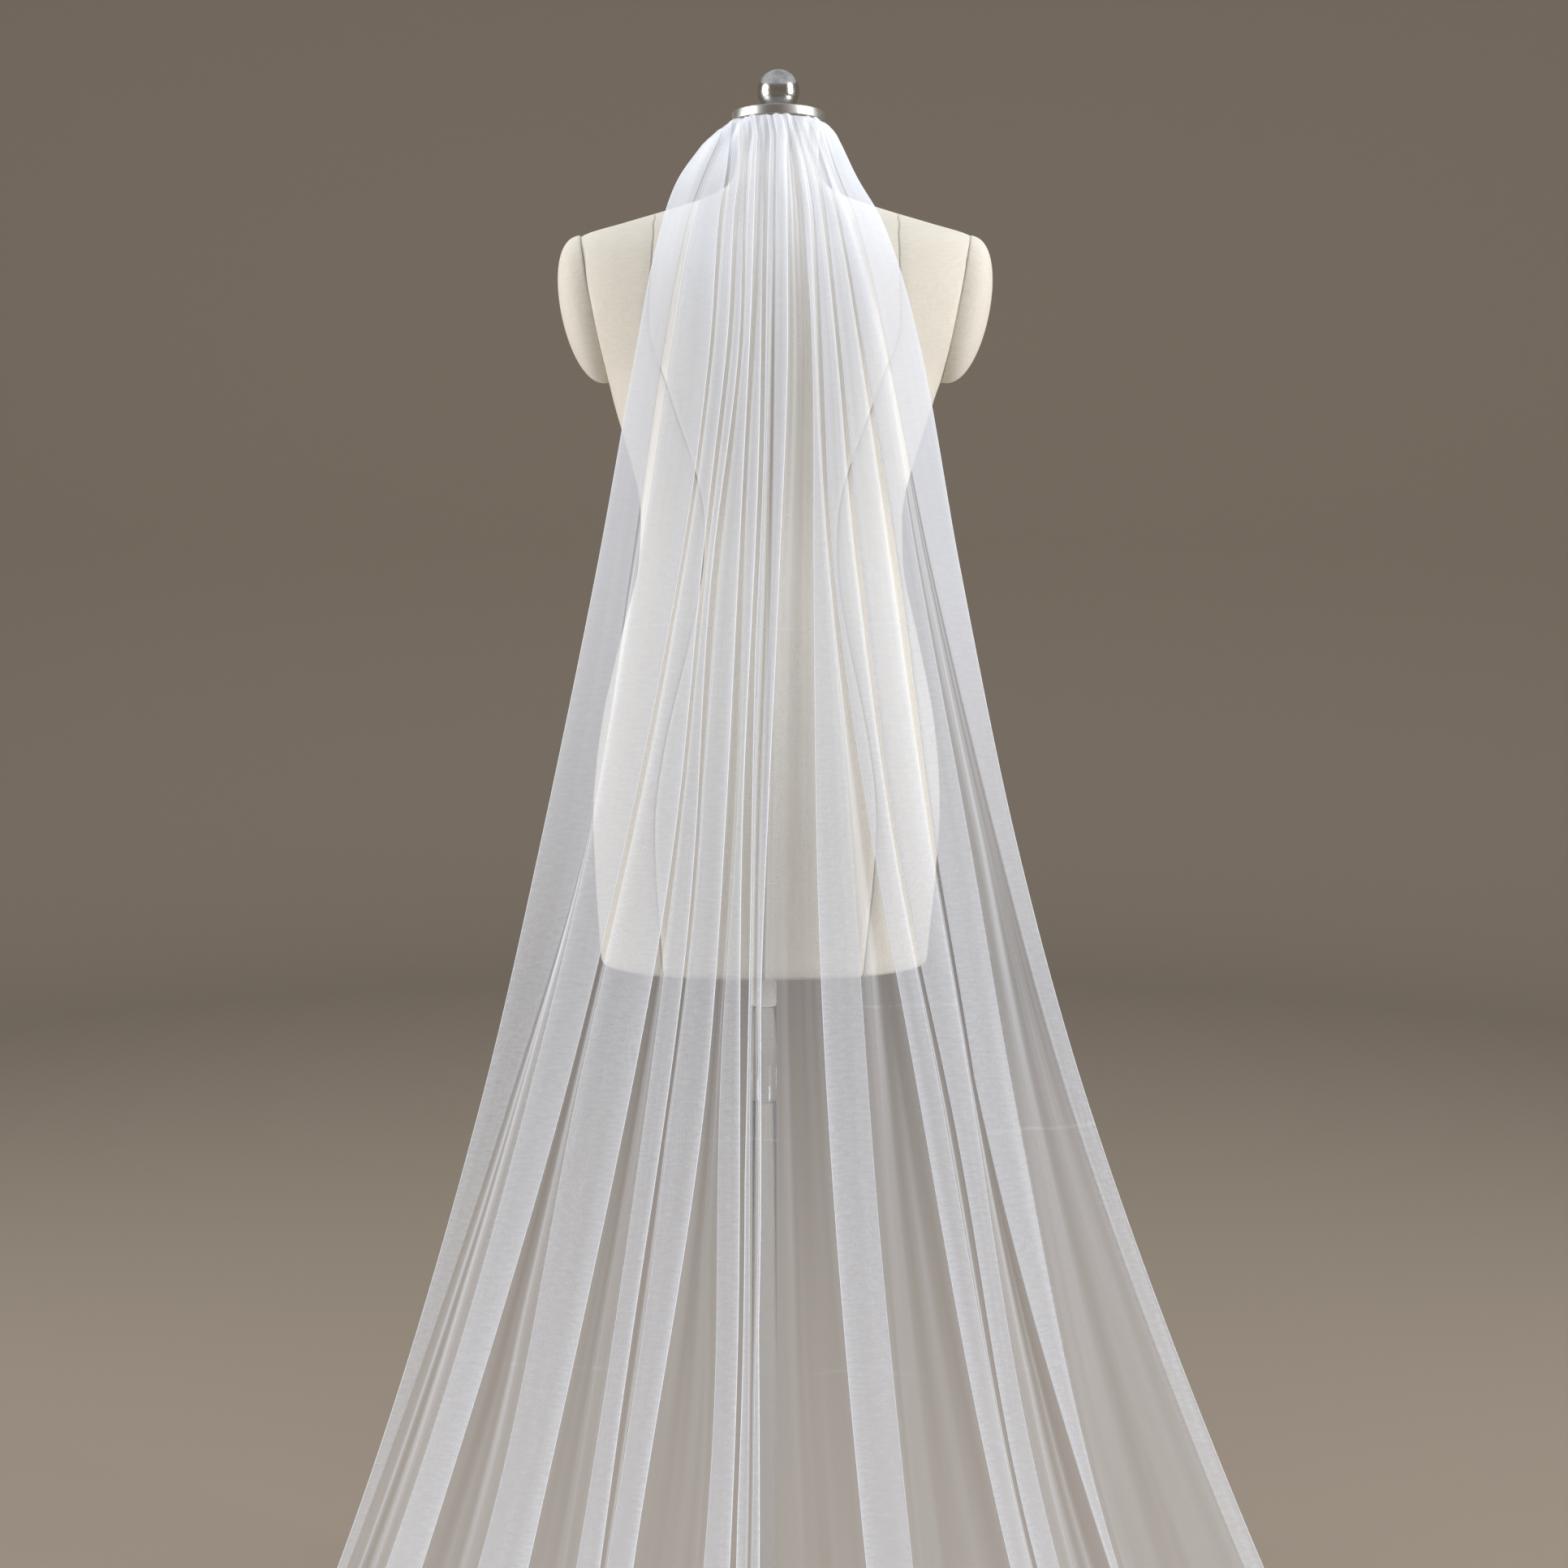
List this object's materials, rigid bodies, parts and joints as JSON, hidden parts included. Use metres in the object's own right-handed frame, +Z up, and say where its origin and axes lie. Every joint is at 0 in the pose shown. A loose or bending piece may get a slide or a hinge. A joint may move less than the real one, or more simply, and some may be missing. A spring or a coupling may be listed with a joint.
{
  "type": "bridal veil on a dress form",
  "caption": "Long sheer bridal veil with a train, gathered at the neck of a limbless dress form on a clear pole stand.",
  "frame": {"origin": "foot of the pole on the floor, at the middle of the base plate's underside", "axes": "+Z up, +Y the way the form faces, the veil and its train behind it towards -Y, +X to the form's right"},
  "size_m": [1.217, 1.375, 1.6205],
  "materials": {
    "tulle": "sheer cool white tulle",
    "comb_plastic": "clear",
    "linen": "matt ivory cover",
    "brushed_steel": "brushed",
    "chrome": "polished",
    "white_plastic": "satin",
    "acrylic": "clear polished"
  },
  "bodies": {
    "root": {"veil": "tulle", "comb": "comb_plastic", "torso": "linen", "shoulder_cap_left": "linen", "shoulder_cap_right": "linen", "neck_plate": "brushed_steel", "neck_knob": "chrome", "pole_socket": "white_plastic", "pole_upper": "acrylic", "pole_lower": "acrylic", "base_collar": "brushed_steel", "base_plate": "brushed_steel"}
  },
  "joints": []
}
